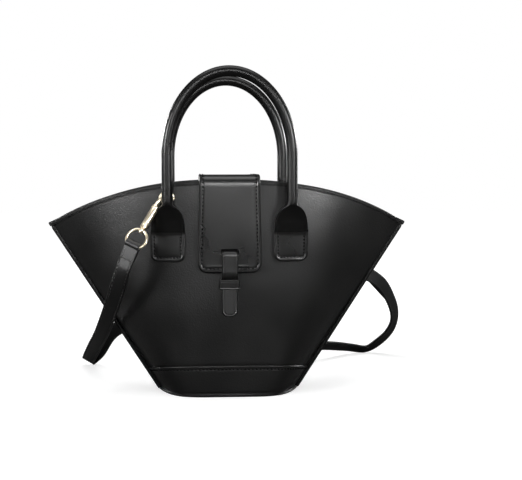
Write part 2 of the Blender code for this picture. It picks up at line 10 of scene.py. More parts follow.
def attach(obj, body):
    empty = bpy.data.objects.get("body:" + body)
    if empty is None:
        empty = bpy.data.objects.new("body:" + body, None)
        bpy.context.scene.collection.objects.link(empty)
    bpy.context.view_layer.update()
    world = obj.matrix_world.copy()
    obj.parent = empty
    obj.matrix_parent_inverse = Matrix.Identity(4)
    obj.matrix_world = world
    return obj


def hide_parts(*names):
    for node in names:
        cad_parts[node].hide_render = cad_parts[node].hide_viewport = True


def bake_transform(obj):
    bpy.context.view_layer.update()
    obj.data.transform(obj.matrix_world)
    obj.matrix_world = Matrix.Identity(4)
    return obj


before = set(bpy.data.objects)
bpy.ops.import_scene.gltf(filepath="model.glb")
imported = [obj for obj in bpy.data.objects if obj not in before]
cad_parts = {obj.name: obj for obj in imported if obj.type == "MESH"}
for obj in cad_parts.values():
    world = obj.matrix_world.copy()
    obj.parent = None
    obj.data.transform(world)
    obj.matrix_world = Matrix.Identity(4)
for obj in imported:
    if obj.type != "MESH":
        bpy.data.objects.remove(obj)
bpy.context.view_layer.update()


# The camera stands a metre in front of the bag, a little above the rim and a little to the left.
# Its focal length and tilt come from the photo's perspective.
camera = bpy.data.objects.new("camera", bpy.data.cameras.new("camera"))
camera.data.sensor_width = 36
camera.data.lens = 81.5
camera.data.clip_start = 0.05
camera.matrix_world = (
    Matrix.Translation((-0.0288, -0.9994, 0.1873))
    @ Matrix.Rotation(math.radians(-3.25), 4, "Z")
    @ Matrix.Rotation(math.radians(90 - 3.47), 4, "X")
    @ Matrix.Rotation(math.radians(-0.10), 4, "Z")
)
bpy.context.scene.collection.objects.link(camera)
bpy.context.scene.camera = camera
bpy.context.scene.view_settings.view_transform = "Standard"


# A white photo table: a plain matt floor, a wide soft lamp over the bag, gridded ones aimed at its
# front and back, which leave its foot dark, and a weak strip on each side. The world is white to
# the camera and to transmission rays, and dim as a light and in reflections.
def lamp(name, place, target, size, power, spread=180):
    light = bpy.data.lights.new(name, "AREA")
    light.shape = "RECTANGLE"
    light.size, light.size_y = size
    light.energy = power
    light.spread = math.radians(spread)
    holder = bpy.data.objects.new(name, light)
    aim = (Vector(target) - Vector(place)).to_track_quat("-Z", "Y")
    holder.matrix_world = Matrix.Translation(place) @ aim.to_matrix().to_4x4()
    holder.visible_camera = False
    bpy.context.scene.collection.objects.link(holder)


def with_nodes(holder):
    """The nodes and links of a new material or world."""
    holder.use_nodes = True
    return holder.node_tree.nodes, holder.node_tree.links


def turned_to(node, **inputs):
    """The node with these inputs set; a name has _ for a space."""
    for name, value in inputs.items():
        node.inputs[name.replace("_", " ")].default_value = value
    return node


def wire(links, *pairs):
    for a, b in pairs:
        links.new(a, b)


lamp("top_softbox", (0.0, -0.10, 1.6), (0, 0, 0.1), (1.6, 1.2), 18)
lamp("front_bank", (-0.10, -1.30, 0.42), (-0.02, 0, 0.21), (0.7, 0.20), 0.36, 26)
lamp("left_softbox", (-1.05, -0.75, 0.42), (0, 0, 0.21), (0.50, 0.22), 0.66, 26)
lamp("right_softbox", (0.80, -0.95, 0.42), (0, 0, 0.21), (0.40, 0.22), 0.50, 26)
lamp("back_left_softbox", (-0.80, 0.95, 0.42), (0, 0, 0.21), (0.40, 0.22), 0.42, 26)
lamp("back_right_softbox", (1.05, 0.75, 0.42), (0, 0, 0.21), (0.50, 0.22), 0.50, 26)
lamp("left_strip", (-0.95, 0.05, 0.40), (0, 0, 0.16), (0.20, 0.80), 0.9)
lamp("right_strip", (0.95, 0.10, 0.40), (0, 0, 0.16), (0.20, 0.80), 0.7)

world = bpy.data.worlds.new("studio")
bpy.context.scene.world = world
nodes, links = with_nodes(world)
sky = turned_to(nodes["Background"], Color=(1, 1, 1, 1))
rays, seen = nodes.new("ShaderNodeLightPath"), nodes.new("ShaderNodeMath")
seen.operation = "MAXIMUM"
level = turned_to(nodes.new("ShaderNodeMapRange"), To_Min=0.07, To_Max=1.0)
wire(
    links,
    (rays.outputs["Is Camera Ray"], seen.inputs[0]),
    (rays.outputs["Is Transmission Ray"], seen.inputs[1]),
    (seen.outputs[0], level.inputs["Value"]),
    (level.outputs["Result"], sky.inputs["Strength"]),
)

paper = bpy.data.materials.new("table_paper")
nodes, links = with_nodes(paper)
sheet = turned_to(
    nodes["Principled BSDF"], Roughness=0.9, Specular_IOR_Level=0.1, Emission_Color=(1, 1, 1, 1)
)
far_off, rays = nodes.new("ShaderNodeNewGeometry"), nodes.new("ShaderNodeLightPath")
reach, glow = nodes.new("ShaderNodeVectorMath"), nodes.new("ShaderNodeMath")
reach.operation = "LENGTH"
glow.operation = "MULTIPLY"
fade = turned_to(nodes.new("ShaderNodeMapRange"), From_Min=0.25, From_Max=0.60, To_Min=0.62)
fade.interpolation_type = "SMOOTHSTEP"
tone = nodes.new("ShaderNodeValToRGB")
tone.color_ramp.elements[0].color = (0.10, 0.10, 0.10, 1)
tone.color_ramp.elements[1].color = (0.60, 0.60, 0.60, 1)
wire(
    links,
    (far_off.outputs["Position"], reach.inputs[0]),
    (reach.outputs["Value"], fade.inputs["Value"]),
    (fade.outputs["Result"], glow.inputs[0]),
    (rays.outputs["Is Camera Ray"], glow.inputs[1]),
    (glow.outputs[0], sheet.inputs["Emission Strength"]),
    (rays.outputs["Is Camera Ray"], tone.inputs["Fac"]),
    (tone.outputs["Color"], sheet.inputs["Base Color"]),
)
table = bmesh.new()
bmesh.ops.create_grid(table, x_segments=2, y_segments=2, size=4)
floor_mesh = bpy.data.meshes.new("photo_table")
table.to_mesh(floor_mesh)
table.free()
floor_mesh.materials.append(paper)
floor = bpy.data.objects.new("photo_table", floor_mesh)
bpy.context.scene.collection.objects.link(floor)


# Front and back panels: soft black leather with a fine pebble, cut as a fan. They run from the
# flat, nearly rectangular base up to the lens of the mouth, and meet in the two side seams.
gap = 0.0003  # between pieces that touch
panel_thick, base_thick = 0.0016, 0.0020
floor_top = base_thick + gap
foot_half, mouth_half = 0.0570, 0.1488  # half of the width between the seams
corner_height, rim_height = 0.1423, 0.1764  # of the mouth, at the seams and in the middle
rim_power = 2.5
foot_depth, mouth_depth = 0.0400, 0.0475  # half of the depth
foot_power, mouth_power = 5.5, 2.2  # of the plan: nearly a rectangle, and a lens
seam_room = 0.00175  # between a panel's edge and the plane of the seams
panel_sag = 0.0007
piping_radius = 0.0019
side_lean = math.atan((mouth_half - foot_half) / corner_height)
piping_reach = (piping_radius + gap) / math.cos(side_lean)


def half_width_at(v):
    return foot_half - piping_reach + (mouth_half - foot_half) * v


def half_depth_at(v):
    return foot_depth + (mouth_depth - foot_depth) * v


def plan_power_at(v):
    return foot_power + (mouth_power - foot_power) * v


def rim_height_at(u):
    return corner_height + (rim_height - corner_height) * (1 - abs(u) ** rim_power)


def height_at(u, v):
    return floor_top + (rim_height_at(u) - floor_top) * v


def body_spot(u, v):
    """A point of the front panel's outer face: u from seam to seam, v from the base to the rim."""
    y = seam_room + (half_depth_at(v) - seam_room) * (1 - abs(u) ** plan_power_at(v))
    return Vector((u * half_width_at(v), -y, height_at(u, v)))


def body_facing(u, v):
    """(point, outward direction, upward direction) on the front panel."""
    across = body_spot(min(u + 1e-4, 1), v) - body_spot(max(u - 1e-4, -1), v)
    up = body_spot(u, min(v + 1e-4, 1)) - body_spot(u, max(v - 1e-4, 0))
    return body_spot(u, v), across.cross(up).normalized(), up.normalized()


def on_panel(x, z, out=0.0):
    """The spot of the front panel at this x and z, out in front of it, and its outward direction."""
    u, v = 0.0, z / rim_height
    for _ in range(12):
        u = max(-1.0, min(1.0, x / half_width_at(v)))
        v = (z - floor_top) / (rim_height_at(u) - floor_top)
    here, outward, _ = body_facing(u, v)
    return here + outward * out, outward


def leather(name, shade, gloss, pebble, pebble_depth, specular=0.5):
    """Dyed leather: pebbled grain, finer pores, and a slow drift in its colour and gloss."""
    made = bpy.data.materials.new(name)
    nodes, links = with_nodes(made)
    skin = turned_to(nodes["Principled BSDF"], IOR=1.5, Specular_IOR_Level=specular)
    where = nodes.new("ShaderNodeTexCoord").outputs["Object"]
    grain = nodes.new("ShaderNodeTexVoronoi")
    grain.feature = "SMOOTH_F1"
    turned_to(grain, Scale=pebble, Smoothness=0.45)
    bent_grain = turned_to(nodes.new("ShaderNodeTexNoise"), Scale=pebble * 0.35, Detail=2)
    warp = nodes.new("ShaderNodeVectorMath")
    warp.operation = "MULTIPLY_ADD"
    warp.inputs[1].default_value = (0.6 / pebble,) * 3
    pores = turned_to(nodes.new("ShaderNodeTexNoise"), Scale=pebble * 3.5, Detail=4)
    relief = nodes.new("ShaderNodeMath")
    relief.operation = "MULTIPLY_ADD"
    relief.inputs[1].default_value = 0.25
    bump = turned_to(nodes.new("ShaderNodeBump"), Strength=0.55, Distance=pebble_depth)
    bump.invert = True
    drift = turned_to(nodes.new("ShaderNodeTexNoise"), Scale=22, Detail=3)
    tone = nodes.new("ShaderNodeValToRGB")
    tone.color_ramp.elements[0].position = 0.3
    tone.color_ramp.elements[1].position = 0.7
    tone.color_ramp.elements[0].color = (shade * 0.85, shade * 0.85, shade * 0.85, 1)
    tone.color_ramp.elements[1].color = (shade * 1.25, shade * 1.22, shade * 1.18, 1)
    matt = turned_to(
        nodes.new("ShaderNodeMapRange"), From_Min=0.3, From_Max=0.7, To_Min=gloss - 0.05, To_Max=gloss + 0.06
    )
    wire(
        links,
        (where, bent_grain.inputs["Vector"]),
        (bent_grain.outputs["Color"], warp.inputs[0]),
        (where, warp.inputs[2]),
        (warp.outputs[0], grain.inputs["Vector"]),
        (where, pores.inputs["Vector"]),
        (pores.outputs["Fac"], relief.inputs[0]),
        (grain.outputs["Distance"], relief.inputs[2]),
        (relief.outputs[0], bump.inputs["Height"]),
        (bump.outputs["Normal"], skin.inputs["Normal"]),
        (where, drift.inputs["Vector"]),
        (drift.outputs["Fac"], tone.inputs["Fac"]),
        (tone.outputs["Color"], skin.inputs["Base Color"]),
        (drift.outputs["Fac"], matt.inputs["Value"]),
        (matt.outputs["Result"], skin.inputs["Roughness"]),
    )
    return made


def mapped(place, columns, rows, loop=False, capped=False):
    """A grid whose corner (s, t), s from -1 to 1 and t from 0 to 1, is moved to place(s, t)."""
    bm = bmesh.new()
    bmesh.ops.create_grid(bm, x_segments=columns, y_segments=rows, size=1)
    for vert in bm.verts:
        vert.co = place(vert.co.x, (vert.co.y + 1) / 2)
    if loop:
        bmesh.ops.remove_doubles(bm, verts=bm.verts, dist=2e-6)
    if capped:
        bmesh.ops.holes_fill(bm, edges=[e for e in bm.edges if e.is_boundary], sides=0)
    return bm


def piece(name, bm, *finishes):
    """The finished mesh as an object at the origin, smooth with its sharp edges kept."""
    mesh = bpy.data.meshes.new(name)
    bm.to_mesh(mesh)
    bm.free()
    mesh.shade_smooth()
    mesh.set_sharp_from_angle(angle=math.radians(40))
    for finish in finishes:
        mesh.materials.append(finish)
    obj = bpy.data.objects.new(name, mesh)
    bpy.context.scene.collection.objects.link(obj)
    return obj


def fit(obj, slot, body, *nodes):
    """The piece stands for these nodes and rides on the body if there is one. The slot is not used."""
    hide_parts(*nodes)
    if body:
        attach(obj, body)


def fit_pair(obj, other_name, slot, place, other_place):
    """Fits a piece, and a copy of it on the other side of the bag, half a turn about the Z axis.
    A place is a body and the nodes that the piece stands for."""
    fit(obj, slot, *place)
    other = obj.copy()
    other.name = other_name
    other.data = obj.data.copy()
    other.data.transform(Matrix.Rotation(math.pi, 4, "Z"))
    bpy.context.scene.collection.objects.link(other)
    fit(other, slot, *other_place)
    return other


def soft_line(distance, at, width):
    """How much of a soft raised or sunk line there is at this distance: 1 along its middle."""
    return math.exp(-(((distance - at) / width) ** 2))


def band_height_at(u):
    """The top of the band round the foot, which dips at the side seams."""
    return 0.0263 - 0.0065 * abs(u) ** 5


def panel_spot(s, t):
    """The leather sags a little between its edges, and is drawn in over the band."""
    here, outward, _ = body_facing(s, t)
    hollow = 0.5 + 0.5 * noise.noise(Vector((here.x * 14, 3.1, here.z * 17)))
    calm = min(1.0, (1 - abs(s)) * 6) * min(1.0, t * 5) * min(1.0, (1 - t) * 8)
    tuck = soft_line(here.z - band_height_at(s), 0.0002, 0.0012)
    return here - outward * panel_sag * (hollow * calm + tuck)


pebbled = leather("pebbled_leather", 0.0040, 0.33, 850, 0.00014)
panel_bm = mapped(panel_spot, 140, 72)
bmesh.ops.solidify(panel_bm, geom=panel_bm.faces[:], thickness=panel_thick)
front_panel = piece("front_panel_leather", panel_bm, pebbled)
fit_pair(front_panel, "back_panel_leather", "black_leather", ("bag", "front_panel"), ("bag", "back_panel"))


# The base: one plate of the same leather over a stiff board, with its edge turned and pressed.
# The board stays unseen between the base and the lining.
def powered(value, power):
    """The value raised to a power, with its sign kept."""
    return math.copysign(abs(value) ** power, value)


def toned(name, kind, scale, low, high):
    """A material whose colour runs from low to high with a texture. (material, shader, texture)"""
    made = bpy.data.materials.new(name)
    nodes, links = with_nodes(made)
    where, tone = nodes.new("ShaderNodeTexCoord"), nodes.new("ShaderNodeValToRGB")
    texture = turned_to(nodes.new(kind), Scale=scale)
    tone.color_ramp.elements[0].color = (*low, 1)
    tone.color_ramp.elements[1].color = (*high, 1)
    wire(
        links,
        (where.outputs["Object"], texture.inputs["Vector"]),
        (texture.outputs["Fac"], tone.inputs["Fac"]),
        (tone.outputs["Color"], nodes["Principled BSDF"].inputs["Base Color"]),
    )
    return made, nodes["Principled BSDF"], texture


def recoat(node, finish):
    """A solid that keeps its own shape takes this material."""
    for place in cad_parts[node].material_slots:
        place.material = finish


base_half, base_depth = 0.0587, 0.0404
base_bm = bmesh.new()
outline = []
for index in range(120):
    angle = math.tau * index / 120
    x = powered(math.cos(angle), 2 / foot_power)
    y = math.copysign(1 - abs(x) ** foot_power, math.sin(angle))
    outline.append(base_bm.verts.new((base_half * x, base_depth * y, 0.0)))
base_bm.faces.new(outline)
raised = bmesh.ops.extrude_face_region(base_bm, geom=base_bm.faces[:])
top = [v for v in raised["geom"] if isinstance(v, bmesh.types.BMVert)]
bmesh.ops.translate(base_bm, verts=top, vec=(0, 0, base_thick))
bmesh.ops.remove_doubles(base_bm, verts=base_bm.verts, dist=2e-6)
bmesh.ops.recalc_face_normals(base_bm, faces=base_bm.faces)
rims = [e for e in base_bm.edges if len(e.link_faces) == 2 and e.calc_face_angle(0) > 1.2
        and abs(e.verts[0].co.z - e.verts[1].co.z) < 1e-6]
bmesh.ops.bevel(base_bm, geom=rims, offset=0.0007, segments=3, profile=0.5, affect="EDGES", material=-1)
fit(piece("base_leather", base_bm, pebbled), "black_leather", "bag", "base_panel")
card = toned("pressed_board", "ShaderNodeTexNoise", 900, (0.28, 0.24, 0.19), (0.42, 0.36, 0.29))[0]
recoat("base_board", card)


# The lining: a cup of dark twill inside the panels, hemmed under the rim's binding. It has a
# floor of its own over the board.
dark, light = (0.022, 0.020, 0.018), (0.060, 0.055, 0.050)
twill, cloth, ribs = toned("lining_twill", "ShaderNodeTexWave", 420, dark, light)
turned_to(cloth, Roughness=0.85, Sheen_Weight=0.3)
turned_to(ribs, Distortion=1.2, Detail=2)
ribs.wave_type = "BANDS"
ribs.bands_direction = "DIAGONAL"
nodes, links = with_nodes(twill)
weave = turned_to(nodes.new("ShaderNodeBump"), Strength=0.5, Distance=0.00012)
wire(links, (ribs.outputs["Fac"], weave.inputs["Height"]), (weave.outputs["Normal"], cloth.inputs["Normal"]))
lining_foot, lining_hem = 0.0165, 0.0255  # as shares of the panel's height
lining_side_room, lining_room = 0.0074, 0.0024  # to the outer faces of the panels
lining_slack = 0.0010


def lining_spot(s, t):
    """s runs round the cup and t up it; the cloth hangs slack below its hem."""
    u = (2 * s + 1) if s < 0 else (1 - 2 * s)
    v = lining_foot + (1 - lining_foot - lining_hem) * t
    half = half_width_at(v) - lining_side_room
    slack = lining_slack * noise.noise(Vector((u * 4, 7.7, v * 3))) * min(1.0, (1 - t) * 6)
    y = (half_depth_at(v) - lining_room) * (1 - abs(u) ** plan_power_at(v))
    y = max(0.0, y - abs(slack))
    return Vector((u * half, -y if s < 0 else y, height_at(u * half / (half + lining_side_room), v)))


lining_bm = mapped(lining_spot, 200, 50, loop=True)
low = [e for e in lining_bm.edges if e.is_boundary and max(v.co.z for v in e.verts) < 0.02]
bmesh.ops.holes_fill(lining_bm, edges=low, sides=0)
bmesh.ops.recalc_face_normals(lining_bm, faces=lining_bm.faces)
lining = piece("lining_cup", lining_bm, twill)
wall = lining.modifiers.new("cloth_thickness", "SOLIDIFY")
wall.thickness = 0.0006
wall.offset = -1
fit(lining, "lining_cloth", "bag", "lining")


# The band round the foot: a strip of the same leather in a front and a back half, sewn along
# its upper edge, which dips a little at the side seams.
def from_corner(past_side, past_foot, corner):
    """How far inside a strip's rounded outline a point is, from how far it is past the corner's middle."""
    return corner - math.hypot(max(past_side, 0), max(past_foot, 0)) - min(max(past_side, past_foot), 0)


def cut_in(past_foot, corner):
    """How much the rounded corners narrow each side of a strip this far past their middle."""
    return corner - math.sqrt(max(0.0, corner**2 - max(0.0, past_foot) ** 2))


def soft_strip(spot, half_width, length, thick, columns, rows, corner=0, edge=0.0006, relief=(), crowd=1):
    """A leather strip with rounded edges, and rounded corners at its foot. spot(x, l) gives the
    middle of its thickness and its outward direction, x across it and l along it. relief lists the
    raised and sunk lines that follow its edge: (distance from the edge, height, width)."""

    def place(s, t):
        a = (2 * s + 1) if s < 0 else (1 - 2 * s)
        l = length * (t**crowd if corner else t)
        half = half_width(l)
        x = (half - cut_in(corner - l, corner)) * math.sin(a * math.pi / 2)
        d = from_corner(abs(x) - half + corner, corner - l, corner) if corner else half - abs(x)
        d = max(d, 0.0)
        share = min(1.0, d / edge)
        swell = thick / 2 * math.sqrt(max(0.04, 1 - (1 - share) ** 2))
        here, outward = spot(x, l)
        if s >= 0:
            return here - outward * swell
        for inset, height, width in relief:
            swell += height * soft_line(d, inset, width)
        return here + outward * swell

    bm = mapped(place, columns, rows, loop=True, capped=True)
    bmesh.ops.recalc_face_normals(bm, faces=bm.faces)
    return bm


def sew(bm, route, length=0.0020, pitch=0.0031, radius=0.00058):
    """A row of thread stitches along route, a list of (point, outward direction)."""
    run, spots = pitch / 2, []
    for (start, out), (end, _) in zip(route, route[1:]):
        step = (end - start).length
        while run < step:
            along = (end - start).normalized()
            side = out.cross(along).normalized()
            turned = Matrix((along, side, along.cross(side))).transposed().to_4x4()
            place = Matrix.Translation(start.lerp(end, run / step) + out * (radius * 0.25))
            spots.append(place @ turned)
            run += pitch
        run -= step
    size = Matrix.Diagonal((length / 2, radius, radius, 1)) @ Matrix.Rotation(math.pi / 2, 4, "Y")
    for first in range(0, len(spots), 20):
        few = bmesh.new()
        for place in spots[first : first + 20]:
            bmesh.ops.create_uvsphere(few, u_segments=6, v_segments=4, radius=1, matrix=place @ size)
        for face in few.faces:
            face.material_index = 1
        row = bpy.data.meshes.new("stitches")
        few.to_mesh(row)
        few.free()
        bm.from_mesh(row)
        bpy.data.meshes.remove(row)


thread, twine, _ = toned("black_thread", "ShaderNodeTexNoise", 2600, (0.001,) * 3, (0.004,) * 3)
turned_to(twine, Roughness=0.8, Specular_IOR_Level=0.1)
band_thick, band_half, band_run = 0.0015, 0.012, 0.150
band_foot, band_sewn_inset = 0.0008, 0.0026


def band_spot(x, l):
    """l runs from seam to seam and x up the band, from its middle."""
    u = max(-1.0, min(1.0, l / (band_run / 2) - 1))
    z = band_foot + (band_height_at(u) - band_foot) * (x / band_half + 1) / 2
    v = (z - floor_top) / (rim_height_at(u) - floor_top)
    outward = body_facing(u, max(0.0, v))[1]
    return body_spot(u, v) + outward * (gap + band_thick / 2), outward


band_bm = soft_strip(
    band_spot, lambda l: band_half, band_run, band_thick, 72, 150, edge=0.0005,
    relief=((0.0008, 0.0001, 0.0005), (band_sewn_inset, -0.0002, 0.0007)),
)
band_line = []
for index in range(120):
    l = band_run * index / 119
    outward = band_spot(0, l)[1]
    band_line.append((band_spot(band_half - band_sewn_inset, l)[0] + outward * 0.00065, outward))
sew(band_bm, band_line)
front_band = piece("front_band_leather", band_bm, pebbled, thread)
fit_pair(
    front_band, "back_band_leather", "black_leather", ("bag", "front_base_band"), ("bag", "back_base_band")
)


# Side piping: a cord rolled in thin leather, whose flange is caught in each side seam, from the
# base to the corner of the mouth. Its edges are painted.
def round_bar(points, radius, closed=False):
    """A bar along points; radius is one number or one for each point."""
    points = [Vector(p) for p in points]
    count = len(points)
    radii = radius if isinstance(radius, (list, tuple)) else [radius] * count
    alongs = []
    for i in range(count):
        before = points[i - 1] if i or closed else points[i]
        after = points[(i + 1) % count] if i < count - 1 or closed else points[i]
        alongs.append((after - before).normalized())
    side = alongs[0].orthogonal().normalized()
    sides_of = [side]
    for i in range(1, count):
        side = side - alongs[i] * side.dot(alongs[i])
        side.normalize()
        sides_of.append(side)
    twist = 0.0
    if closed:
        last = side - alongs[0] * side.dot(alongs[0])
        twist = last.angle(sides_of[0]) * math.copysign(1, last.cross(sides_of[0]).dot(alongs[0]))

    def place(s, t):
        row = t * (count if closed else count - 1)
        i = round(row)
        angle = math.pi * s + twist * row / count
        k = i % count
        a, b = sides_of[k], alongs[k].cross(sides_of[k])
        return points[k] + (a * math.cos(angle) + b * math.sin(angle)) * radii[k]

    bm = mapped(place, 16, count if closed else count - 1, loop=True, capped=not closed)
    bmesh.ops.recalc_face_normals(bm, faces=bm.faces)
    return bm


def joined(*meshes):
    """Several bmeshes in one."""
    whole = bmesh.new()
    for bm in meshes:
        part = bpy.data.meshes.new("part")
        bm.to_mesh(part)
        bm.free()
        whole.from_mesh(part)
        bpy.data.meshes.remove(part)
    return whole


painted_edge = leather("painted_edge", 0.0035, 0.50, 1500, 0.00005, specular=0.2)
foot = Vector((foot_half, 0, 0))
head = Vector((mouth_half, 0, corner_height))
start = foot.lerp(head, 0.0017 / corner_height)
cord_radii = [piping_radius * (1 + 0.03 * noise.noise(Vector((i * 0.4, 0, 1)))) for i in range(61)]
cord_radii[-1] *= 0.6
cord_bm = round_bar([start.lerp(head, i / 60.8) for i in range(61)], cord_radii)
flange_bm = bmesh.new()
bmesh.ops.create_cube(flange_bm, size=1)
bmesh.ops.scale(flange_bm, vec=(0.0062, 0.0014, 0.162), verts=flange_bm.verts)
bmesh.ops.translate(flange_bm, vec=(-0.0041, 0, 0), verts=flange_bm.verts)
bmesh.ops.transform(
    flange_bm, verts=flange_bm.verts,
    matrix=Matrix.Translation(start.lerp(head, 0.5)) @ Matrix.Rotation(side_lean, 4, "Y"),
)
piping = piece("right_piping_leather", joined(cord_bm, flange_bm), painted_edge)
fit_pair(
    piping, "left_piping_leather", "black_leather", ("bag", "right_side_piping"), ("bag", "left_side_piping")
)


# Rim binding: a thin strip folded over the raw edge of each panel and sewn through just under it.
# Its ends run past the panel, down into the corner of the mouth.
binding_drop, binding_thick, corner_share = 0.0022, 0.0008, 0.025


def binding_spot(s, t):
    """s runs along the rim, and t over the fold, from the front to the inside."""
    here, outward, up = body_facing(s * 0.998, 1)
    beyond = max(0.0, abs(s) - (1 - corner_share)) / corner_share
    here += Vector((math.copysign(0.0038, s), 0.0006, -0.0013)) * beyond
    if t <= 0.3 or t >= 0.7:
        out = gap if t <= 0.3 else gap - binding_drop
        rise = 0.0007 * round(min(t, 1 - t) / 0.1) - binding_drop
    else:
        angle = math.pi * (t - 0.3) / 0.4
        out = -0.0008 + 0.0011 * math.cos(angle)
        rise = 0.0006 * math.sin(angle)
    return here + outward * out + up * rise


binding_bm = mapped(binding_spot, 160, 20)
bmesh.ops.recalc_face_normals(binding_bm, faces=binding_bm.faces)
bmesh.ops.solidify(binding_bm, geom=binding_bm.faces[:], thickness=-binding_thick)
rim_line = []
for index in range(260):
    here, outward, up = body_facing(0.95 * (2 * index / 259 - 1), 1)
    rim_line.append((here + outward * 0.0010 - up * 0.0014, outward))
sew(binding_bm, rim_line, radius=0.00026)
binding = piece("front_rim_leather", binding_bm, painted_edge, thread)
fit_pair(
    binding, "back_rim_leather", "black_leather", ("bag", "front_rim_binding"), ("bag", "back_rim_binding")
)


# The flap: firm leather with a lining, sewn all round. It is fixed to the back, crosses the mouth
# and hangs down the front. Two pieces meet in the middle of the mouth, and each bends at its fold.
def rounded_route(corners, radius, steps=10):
    """The corners of a path in (y, z) joined by straight runs and round bends, evenly spaced."""
    points = [Vector(corners[0])]
    for before, corner, after in zip(corners, corners[1:], corners[2:]):
        before, corner, after = Vector(before), Vector(corner), Vector(after)
        into, out = before - corner, after - corner
        reach = min(radius, into.length * 0.45, out.length * 0.45)
        begin, end = corner + into.normalized() * reach, corner + out.normalized() * reach
        for step in range(steps + 1):
            t = step / steps
            points.append(begin.lerp(corner, t).lerp(corner.lerp(end, t), t))
    points.append(Vector(corners[-1]))
    return points


def along_route(points):
    """(length, where) of a path in (y, z): where(l) gives its point and its left-hand normal."""
    marks = [0.0]
    for a, b in zip(points, points[1:]):
        marks.append(marks[-1] + (b - a).length)

    def at(l):
        l = max(0.0, min(marks[-1], l))
        k = max(i for i in range(len(marks) - 1) if marks[i] <= l + 1e-12)
        return points[k].lerp(points[k + 1], (l - marks[k]) / max(marks[k + 1] - marks[k], 1e-9))

    def where(l):
        ahead = at(l + 0.0006) - at(l - 0.0006)
        return at(l), Vector((-ahead.y, ahead.x)).normalized()

    return marks[-1], where


def ramp(value, low, high):
    return max(0.0, min(1.0, (value - low) / (high - low)))


smooth_hide = leather("smooth_leather", 0.0036, 0.29, 1500, 0.00005)
flap_thick = 0.0029  # with its lining
flap_top, flap_face, flap_bend = 0.1820, 0.0518, 0.009
flap_foot = (-0.0499, 0.1032)
flap_root_height = 0.150
flap_narrow = 0.0247  # half of its width over the mouth
flap_corner, flap_border, flap_sewn_inset, flap_stitch_rise = 0.0075, 0.0024, 0.0034, 0.00130
flap_relief = ((0.0013, 0.0006, 0.0010), (flap_sewn_inset, -0.0003, 0.0007), (0.0052, 0.0001, 0.0010))


def hanging(z):
    """The y of the flap's outer face at this height."""
    return flap_foot[0] - (flap_face + flap_foot[0]) * (z - flap_foot[1]) / (flap_top - flap_foot[1])


def flap_half(l):
    return flap_narrow + 0.0011 * ramp(0.060 - l, 0, 0.040)


def flap_spot_on(where, side):
    """The middle of the flap's thickness at x across and l along its outer face."""

    def spot(x, l):
        (y, z), (out_y, out_z) = where(l)
        outward = Vector((0, out_y, out_z)) * side
        return Vector((x, y, z)) - outward * (flap_thick / 2), outward

    return spot


def paint_border(bm, half, foot, corner, border, finish):
    """The paint on the cut edge runs over a strip's border, round its foot too."""
    for face in bm.faces:
        middle = face.calc_center_median()
        past_side = abs(middle.x) - (half(middle.z - foot) - corner)
        if from_corner(past_side, foot + corner - middle.z, corner) < border:
            face.material_index = finish


front_length, front_where = along_route(
    rounded_route([flap_foot, (-flap_face, flap_top), (0.0, flap_top)], flap_bend)
)
front_spot = flap_spot_on(front_where, 1)
flap_bm = soft_strip(
    front_spot, flap_half, front_length, flap_thick, 120, 190, corner=flap_corner, edge=0.0010,
    relief=flap_relief, crowd=1.25,
)
paint_border(flap_bm, flap_half, flap_foot[1], flap_corner, flap_border, 2)
flap_front = piece("flap_front_leather", flap_bm, smooth_hide, thread, painted_edge)

slot_bm = bmesh.new()
bmesh.ops.create_cube(slot_bm, size=1)
bmesh.ops.scale(slot_bm, vec=(0.0146, 0.020, 0.0046), verts=slot_bm.verts)
bmesh.ops.bevel(slot_bm, geom=slot_bm.edges[:], offset=0.0008, segments=3, profile=0.5,
                affect="EDGES", material=-1)
bmesh.ops.translate(slot_bm, vec=(0, hanging(0.120), 0.1200), verts=slot_bm.verts)
slot_tool = piece("slot_tool", slot_bm)
opening = flap_front.modifiers.new("slot", "BOOLEAN")
opening.operation = "DIFFERENCE"
opening.object = slot_tool
opening.solver = "EXACT"
bpy.context.view_layer.update()
cut_flap = flap_front.evaluated_get(bpy.context.evaluated_depsgraph_get())
cut_mesh = bpy.data.meshes.new_from_object(cut_flap)
flap_front.modifiers.clear()
flap_front.data = cut_mesh
bpy.data.objects.remove(slot_tool)

half_line = []
for index in range(160):
    l = front_length - (front_length - flap_corner) * index / 159
    half_line.append((flap_half(l) - flap_sewn_inset, l))
middle, reach = flap_half(flap_corner) - flap_corner, flap_corner - flap_sewn_inset
for index in range(1, 14):
    angle = math.pi / 2 * index / 13
    half_line.append((middle + reach * math.cos(angle), flap_corner - reach * math.sin(angle)))
flap_line = []
for x, l in half_line + [(-x, l) for x, l in reversed(half_line)]:
    here, outward = front_spot(x, l)
    flap_line.append((here + outward * flap_stitch_rise, outward))
flap_thread = bmesh.new()
flap_thread.from_mesh(flap_front.data)
sew(flap_thread, flap_line)
flap_thread.to_mesh(flap_front.data)
flap_thread.free()
fit(
    flap_front, "rolled_leather", None,
    "flap_front", "flap_front_lining", "flap_bridge", "flap_bridge_lining",
)
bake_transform(flap_front)

